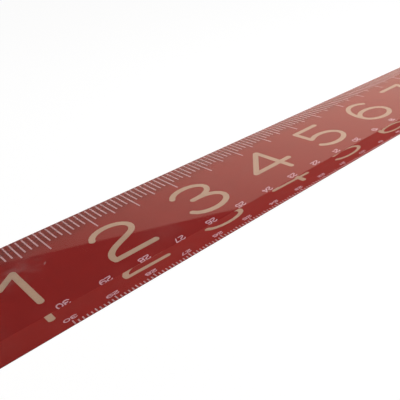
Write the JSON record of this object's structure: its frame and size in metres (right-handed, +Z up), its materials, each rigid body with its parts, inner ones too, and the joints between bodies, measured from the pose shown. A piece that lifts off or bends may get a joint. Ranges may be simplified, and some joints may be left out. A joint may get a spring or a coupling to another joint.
{
  "type": "folding rule",
  "caption": "Clear acrylic folding rule with a red backing printed on its underside, an inch scale and a metric scale, folded by a flush brass rule joint.",
  "frame": {"origin": "bottom centre of the open rule's bounding box, on the surface it lies on; the joint line is the plane X = 0", "axes": "+X along the rule from the first leaf to the second, +Y from the metric edge to the inch edge, +Z up out of the readable face"},
  "size_m": [0.6604, 0.0432, 0.0053],
  "materials": {
    "clear_acrylic": "clear cast acrylic, polished faces, saw-polished edges",
    "red_backing": "opaque red screen-printed backing",
    "mark_ink": "pinkish white screen-printed marks",
    "tan_ink": "tan screen-printed numerals",
    "lilac_ink": "pale lilac screen-printed numerals",
    "brass": "rolled brass plate, finely brushed, handled",
    "rivet_brass": "brass rivets filed flush",
    "steel": "plain steel, turned and filed flush"
  },
  "bodies": {
    "leaf_a": {"leaf_a_blade": "clear_acrylic", "leaf_a_backing": "red_backing", "leaf_a_inch_marks": "mark_ink", "leaf_a_inch_numerals": "tan_ink", "leaf_a_cm_marks": "mark_ink", "leaf_a_cm_numerals": "lilac_ink", "cheek_top": "brass", "cheek_bottom": "brass", "cheek_rivets": "rivet_brass", "washer_top": "steel", "washer_bottom": "steel", "pivot_rivet": "steel", "closing_pin": "steel"},
    "leaf_b": {"leaf_b_blade": "clear_acrylic", "leaf_b_backing": "red_backing", "leaf_b_inch_marks": "mark_ink", "leaf_b_inch_numerals": "tan_ink", "leaf_b_cm_marks": "mark_ink", "leaf_b_cm_numerals": "lilac_ink", "tongue": "brass", "tongue_rivets": "rivet_brass"}
  },
  "joints": [
    {"name": "rule_joint", "type": "hinge", "parent": "leaf_a", "child": "leaf_b", "pos_m": [0, 0.00857, 0], "axis": [0, 0, 1], "range_deg": [0, 180]}
  ]
}
